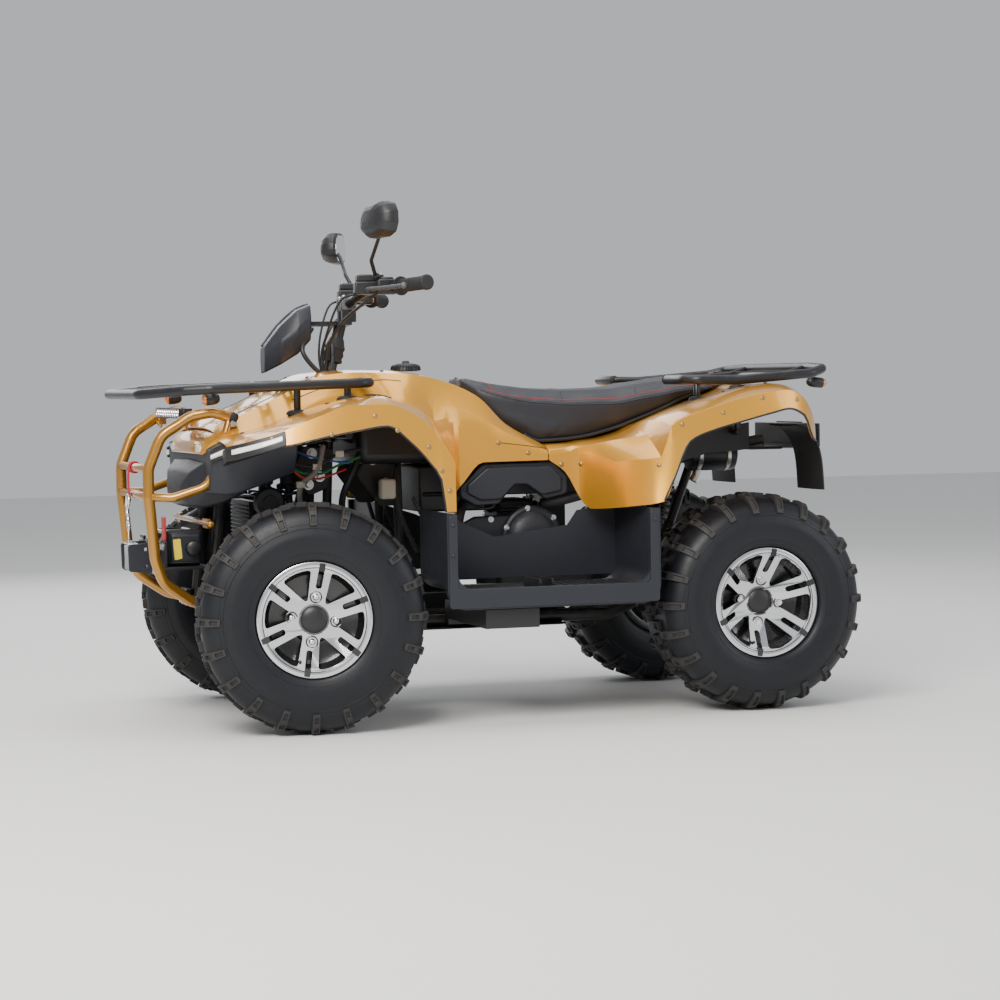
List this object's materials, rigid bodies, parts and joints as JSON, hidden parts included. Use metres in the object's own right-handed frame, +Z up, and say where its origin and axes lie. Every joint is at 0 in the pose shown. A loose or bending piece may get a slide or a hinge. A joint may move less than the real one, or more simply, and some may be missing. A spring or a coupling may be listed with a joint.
{
  "type": "quad bike",
  "caption": "Utility quad bike with moulded body panels, luggage racks, bull bar with winch, footwells, steered front wheels and a solid rear axle.",
  "frame": {"origin": "on the ground under the middle of the outer box", "axes": "+X forward, +Y to the rider's left, +Z up"},
  "size_m": [1.8776, 1.0476, 1.3036],
  "materials": {
    "gold_panel": "metallic gold paint on moulded panels",
    "gold_tube": "darker metallic gold paint",
    "charcoal_plastic": "satin moulded",
    "black_plastic": "satin",
    "seat_vinyl": "fine-grained vinyl",
    "frame_black": "black powder coat",
    "rack_black": "satin black powder coat",
    "engine_grey": "sand-cast",
    "cast_grey": "cast and machined",
    "winch_grey": "textured",
    "zinc": "zinc plated",
    "spring_black": "gloss",
    "grip_rubber": "ribbed",
    "lamp_lens": "clear lens over a reflector",
    "tyre_rubber": "dusty",
    "rim_alloy": "machined face with black pockets"
  },
  "bodies": {
    "chassis": {"frame_rails": "frame_black", "frame_ties": "frame_black", "engine": "engine_grey", "engine_cover": "charcoal_plastic", "footwell_left": "charcoal_plastic", "footwell_right": "charcoal_plastic", "foot_pegs": "frame_black", "front_body": "gold_panel", "nose_panel": "charcoal_plastic", "headlights": "lamp_lens", "rear_fender": "gold_panel", "tail_tray": "charcoal_plastic", "side_covers": "charcoal_plastic", "seat": "seat_vinyl", "fuel_cap": "black_plastic", "rack_front": "rack_black", "rack_rear": "rack_black", "bumper": "gold_tube", "light_bar": "black_plastic", "winch": "winch_grey", "fairlead": "rack_black", "winch_hook": "zinc", "lamps": "black_plastic", "front_arms": "frame_black", "shocks": "spring_black", "swing_arm": "frame_black", "muffler": "rack_black"},
    "steering": {"handlebar": "rack_black", "steering_stem": "frame_black", "grips": "grip_rubber", "controls": "black_plastic", "levers": "rack_black", "cowl": "charcoal_plastic", "mirrors": "black_plastic"},
    "knuckle_left": {"knuckle_left": "cast_grey"},
    "knuckle_right": {"knuckle_right": "cast_grey"},
    "wheel_front_left": {"tyre_front_left": "tyre_rubber", "rim_front_left": "rim_alloy"},
    "wheel_front_right": {"tyre_front_right": "tyre_rubber", "rim_front_right": "rim_alloy"},
    "rear_axle": {"rear_axle": "cast_grey", "tyres_rear": "tyre_rubber", "rims_rear": "rim_alloy"},
    "tie_rod_left": {"tie_rod_left": "zinc"},
    "tie_rod_right": {"tie_rod_right": "zinc"}
  },
  "joints": [
    {"name": "steer", "type": "hinge", "parent": "chassis", "child": "steering", "pos_m": [0.35325, 0, 1.01], "axis": [-0.2419, 0, 0.9703], "range_deg": [-25, 39]},
    {"name": "knuckle_left_turn", "type": "hinge", "parent": "chassis", "child": "knuckle_left", "pos_m": [0.53525, 0.349, 0.285], "axis": [0, 0, 1], "range_deg": [-26, 40]},
    {"name": "knuckle_right_turn", "type": "hinge", "parent": "chassis", "child": "knuckle_right", "pos_m": [0.53525, -0.349, 0.285], "axis": [0, 0, 1], "range_deg": [-26, 40]},
    {"name": "tie_rod_left_swing", "type": "hinge", "parent": "steering", "child": "tie_rod_left", "pos_m": [0.45705, 0.02243, 0.31354], "axis": [-0.2419, 0, 0.9703], "range_deg": [-40, 26]},
    {"name": "tie_rod_right_swing", "type": "hinge", "parent": "steering", "child": "tie_rod_right", "pos_m": [0.45374, -0.00536, 0.31271], "axis": [-0.2419, 0, 0.9703], "range_deg": [-40, 26]},
    {"name": "wheel_front_left_spin", "type": "hinge", "parent": "knuckle_left", "child": "wheel_front_left", "pos_m": [0.54256, 0.40855, 0.285], "axis": [0.1219, 0.9925, 0], "continuous": true},
    {"name": "wheel_front_right_spin", "type": "hinge", "parent": "knuckle_right", "child": "wheel_front_right", "pos_m": [0.52794, -0.40855, 0.285], "axis": [0.1219, 0.9925, 0], "continuous": true},
    {"name": "rear_axle_spin", "type": "hinge", "parent": "chassis", "child": "rear_axle", "pos_m": [-0.64675, 0, 0.28], "axis": [0, 1, 0], "continuous": true}
  ],
  "couplings": [
    {"joint": "knuckle_left_turn", "follows": "steer", "ratio": 1},
    {"joint": "knuckle_right_turn", "follows": "steer", "ratio": 1},
    {"joint": "tie_rod_left_swing", "follows": "steer", "ratio": -1},
    {"joint": "tie_rod_right_swing", "follows": "steer", "ratio": -1}
  ]
}
